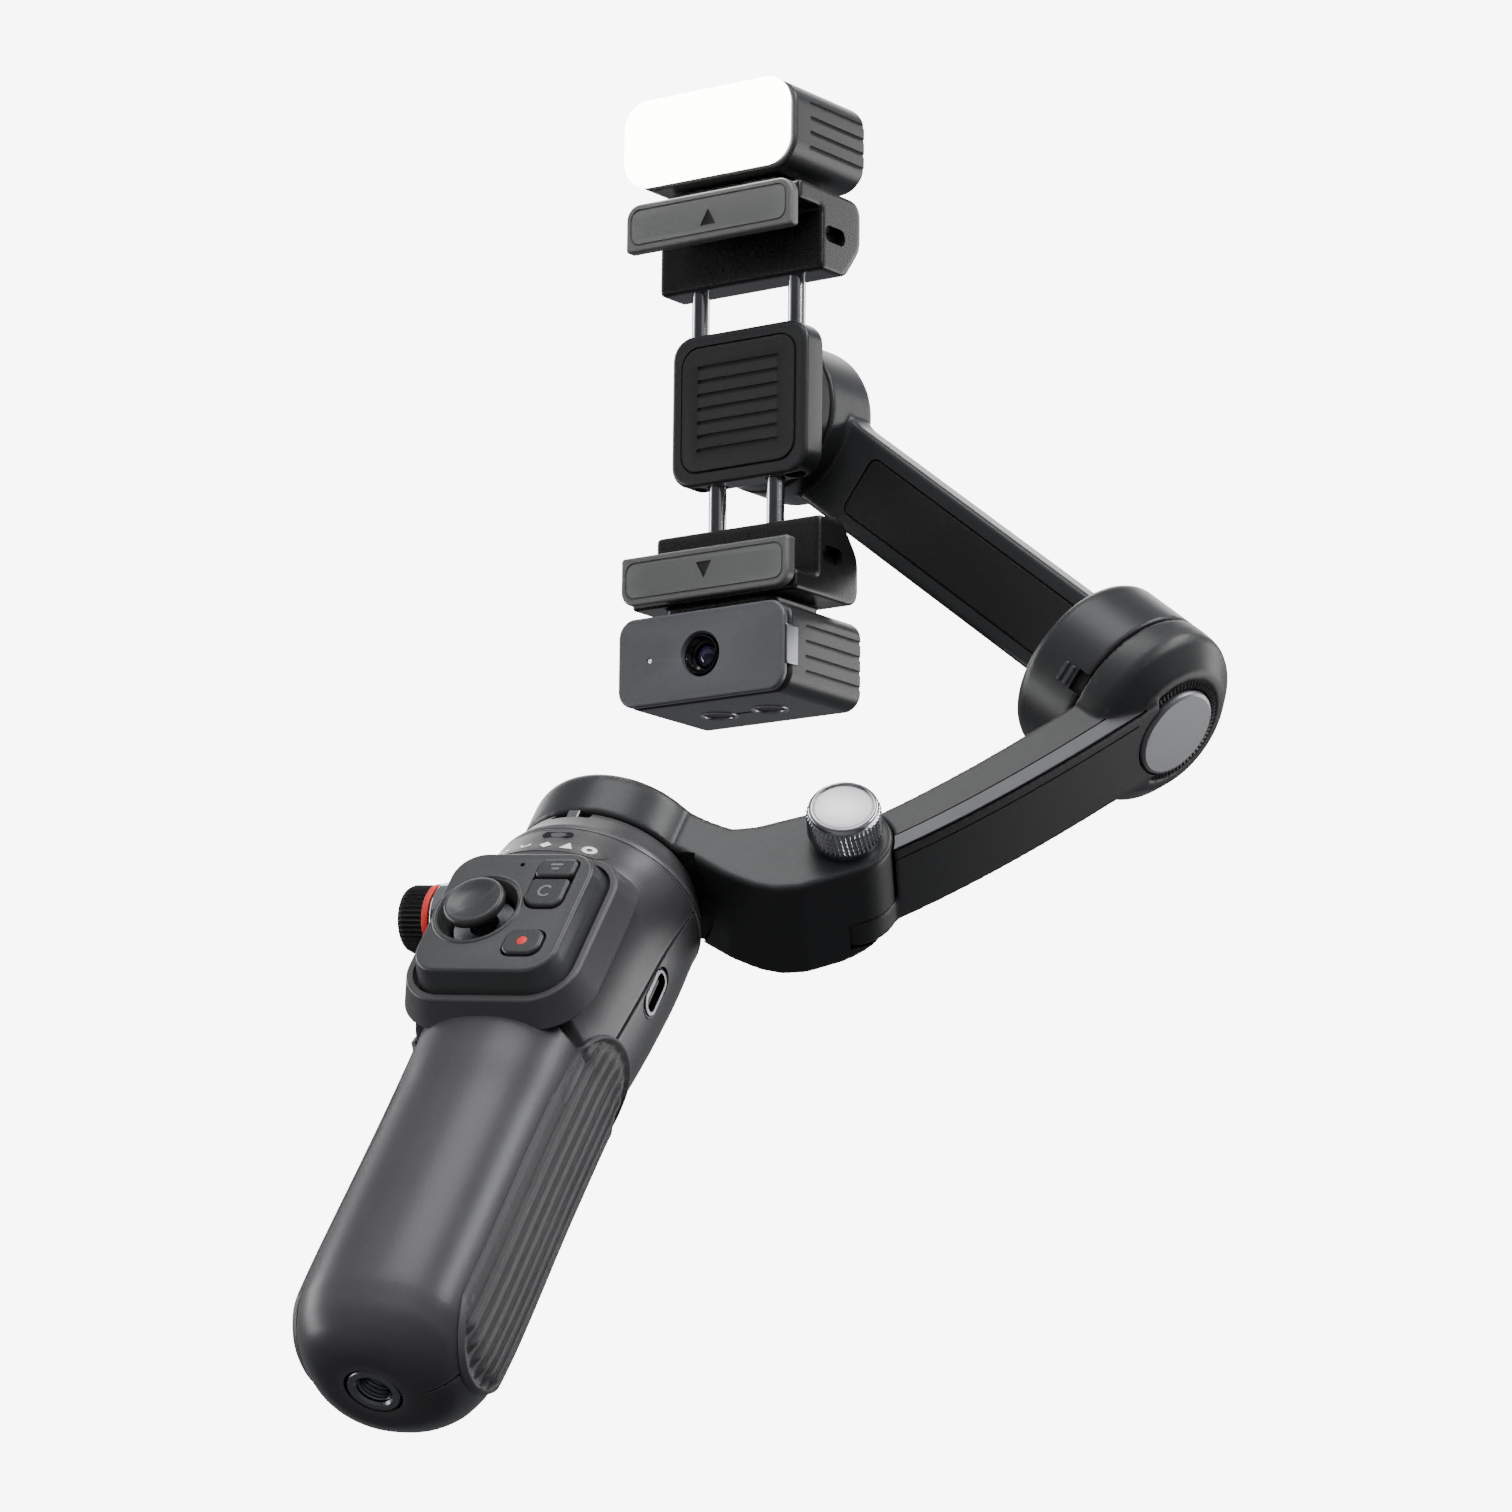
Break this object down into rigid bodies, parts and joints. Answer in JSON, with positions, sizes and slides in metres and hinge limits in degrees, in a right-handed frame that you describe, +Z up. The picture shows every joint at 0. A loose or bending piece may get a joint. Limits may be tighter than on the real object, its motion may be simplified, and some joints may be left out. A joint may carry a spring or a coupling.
{
  "type": "phone gimbal",
  "caption": "Three-axis handheld gimbal with a folding arm, sprung phone clamp, fill light and tracking camera module.",
  "frame": {"origin": "centre of the handle's flat bottom face, on the tripod socket's axis", "axes": "+Z up along the handle and the pan axis, -Y out of the control panel, +X to the right seen from the front, where the folding arm leaves"},
  "size_m": [0.1433, 0.1065, 0.3298],
  "materials": {
    "shell_grey": "fine satin moulding",
    "dark_plastic": "satin",
    "grip_rubber": "matt, ribbed",
    "gloss_black": "semi-gloss",
    "silver_metal": "turned and anodised",
    "steel": "machined",
    "copper_winding": "enamelled wire",
    "cell_wrap": "shrink wrap",
    "circuit_board": "solder mask",
    "pad_rubber": "matt",
    "clamp_grey": "fine satin paint",
    "diffuser_white": "opal, glowing",
    "lens_glass": "coated"
  },
  "bodies": {
    "handle": {"handle_front_shell": "shell_grey", "handle_rear_shell": "shell_grey", "left_grip_pad": "grip_rubber", "right_grip_pad": "grip_rubber", "battery": "cell_wrap", "main_board": "circuit_board", "tripod_insert": "steel", "usb_port": "steel", "neck_collar": "shell_grey", "pan_lock_tab": "silver_metal", "pan_stator": "copper_winding", "control_panel": "gloss_black", "indicator_lens": "gloss_black", "wheel_bezel": "silver_metal"},
    "stick_ring": {"stick_ring": "steel"},
    "stick": {"stick_cap": "dark_plastic"},
    "upper_key": {"upper_key": "dark_plastic"},
    "lower_key": {"lower_key": "dark_plastic"},
    "record_key": {"record_key": "dark_plastic"},
    "zoom_wheel": {"zoom_wheel": "dark_plastic"},
    "trigger": {"trigger": "dark_plastic"},
    "pan_arm": {"pan_arm_shell": "shell_grey", "pan_shaft": "steel", "hinge_pin": "steel", "pan_cap": "dark_plastic"},
    "knob": {"knob": "silver_metal", "knob_cap": "silver_metal"},
    "swing_arm": {"swing_arm_shell": "shell_grey", "swing_arm_trim": "silver_metal", "tilt_cap": "silver_metal", "tilt_stator": "copper_winding"},
    "roll_arm": {"roll_arm_frame": "shell_grey", "roll_arm_inlay": "dark_plastic", "tilt_shaft": "steel", "roll_stator": "copper_winding", "roll_back_cap": "silver_metal"},
    "clamp": {"clamp_base": "shell_grey", "clamp_backing": "pad_rubber"},
    "upper_jaw": {"upper_jaw": "clamp_grey", "upper_jaw_lip": "clamp_grey", "upper_jaw_pad": "pad_rubber"},
    "lower_jaw": {"lower_jaw": "clamp_grey", "lower_jaw_lip": "clamp_grey", "lower_jaw_pad": "pad_rubber"},
    "light": {"light_housing": "clamp_grey", "light_diffuser": "diffuser_white", "lamp_board": "circuit_board"},
    "tracker": {"tracker_housing": "clamp_grey", "tracker_front": "clamp_grey", "lens_barrel": "dark_plastic", "lens_glass": "lens_glass"},
    "tracker_button_left": {"tracker_button_left": "dark_plastic"},
    "tracker_button_right": {"tracker_button_right": "dark_plastic"}
  },
  "joints": [
    {"name": "pan", "type": "hinge", "parent": "handle", "child": "pan_arm", "pos_m": [0, 0, 0.14], "axis": [0, 0, 1], "range_deg": [-160, 160]},
    {"name": "knob_turn", "type": "hinge", "parent": "pan_arm", "child": "knob", "pos_m": [0.04489, 0.01136, 0.1445], "axis": [0.2453, -0.9694, 0], "continuous": true},
    {"name": "fold", "type": "hinge", "parent": "pan_arm", "child": "swing_arm", "pos_m": [0.04489, 0.01136, 0.1445], "axis": [0.2453, -0.9694, 0], "range_deg": [-8, 66]},
    {"name": "tilt", "type": "hinge", "parent": "swing_arm", "child": "roll_arm", "pos_m": [0.09462, 0.02394, 0.1997], "axis": [0.8221, 0.208, -0.5299], "range_deg": [-100, 100]},
    {"name": "roll", "type": "hinge", "parent": "roll_arm", "child": "clamp", "pos_m": [-0.01315, -0.00433, 0.27051], "axis": [-0.1785, -0.7897, -0.587], "range_deg": [-160, 150]},
    {"name": "upper_jaw_slide", "type": "slide", "parent": "clamp", "child": "upper_jaw", "axis": [-0.0699, -0.5849, 0.8081], "range_m": [-0.0095, 0.0065]},
    {"name": "lower_jaw_slide", "type": "slide", "parent": "clamp", "child": "lower_jaw", "axis": [0.0699, 0.5849, -0.8081], "range_m": [-0.0095, 0.0065]},
    {"name": "light_lift", "type": "slide", "parent": "upper_jaw", "child": "light", "axis": [-0.0699, -0.5849, 0.8081], "range_m": [0, 0.008]},
    {"name": "tracker_lift", "type": "slide", "parent": "lower_jaw", "child": "tracker", "axis": [0.0699, 0.5849, -0.8081], "range_m": [0, 0.008]},
    {"name": "zoom_dial", "type": "hinge", "parent": "handle", "child": "zoom_wheel", "pos_m": [0, -0.012, 0.11], "axis": [1, 0, 0], "continuous": true},
    {"name": "stick_up_down", "type": "hinge", "parent": "handle", "child": "stick_ring", "pos_m": [-0.0058, -0.022, 0.098], "axis": [1, 0, 0], "range_deg": [-11, 11], "stiffness_Nm_per_rad": 0.05},
    {"name": "stick_left_right", "type": "hinge", "parent": "stick_ring", "child": "stick", "pos_m": [-0.0058, -0.022, 0.098], "axis": [0, 0, 1], "range_deg": [-11, 11], "stiffness_Nm_per_rad": 0.05},
    {"name": "upper_key_press", "type": "slide", "parent": "handle", "child": "upper_key", "axis": [0, 1, 0], "range_m": [0, 0.0005], "stiffness_N_per_m": 600},
    {"name": "lower_key_press", "type": "slide", "parent": "handle", "child": "lower_key", "axis": [0, 1, 0], "range_m": [0, 0.0005], "stiffness_N_per_m": 600},
    {"name": "record_key_press", "type": "slide", "parent": "handle", "child": "record_key", "axis": [0, 1, 0], "range_m": [0, 0.0005], "stiffness_N_per_m": 600},
    {"name": "trigger_pull", "type": "hinge", "parent": "handle", "child": "trigger", "pos_m": [0, 0.018, 0.114], "axis": [1, 0, 0], "range_deg": [0, 8], "stiffness_Nm_per_rad": 0.6},
    {"name": "tracker_button_left_press", "type": "slide", "parent": "tracker", "child": "tracker_button_left", "axis": [-0.0699, -0.5849, 0.8081], "range_m": [0, 0.0005], "stiffness_N_per_m": 500},
    {"name": "tracker_button_right_press", "type": "slide", "parent": "tracker", "child": "tracker_button_right", "axis": [-0.0699, -0.5849, 0.8081], "range_m": [0, 0.0005], "stiffness_N_per_m": 500}
  ],
  "couplings": [
    {"joint": "lower_jaw_slide", "follows": "upper_jaw_slide", "ratio": 1}
  ]
}
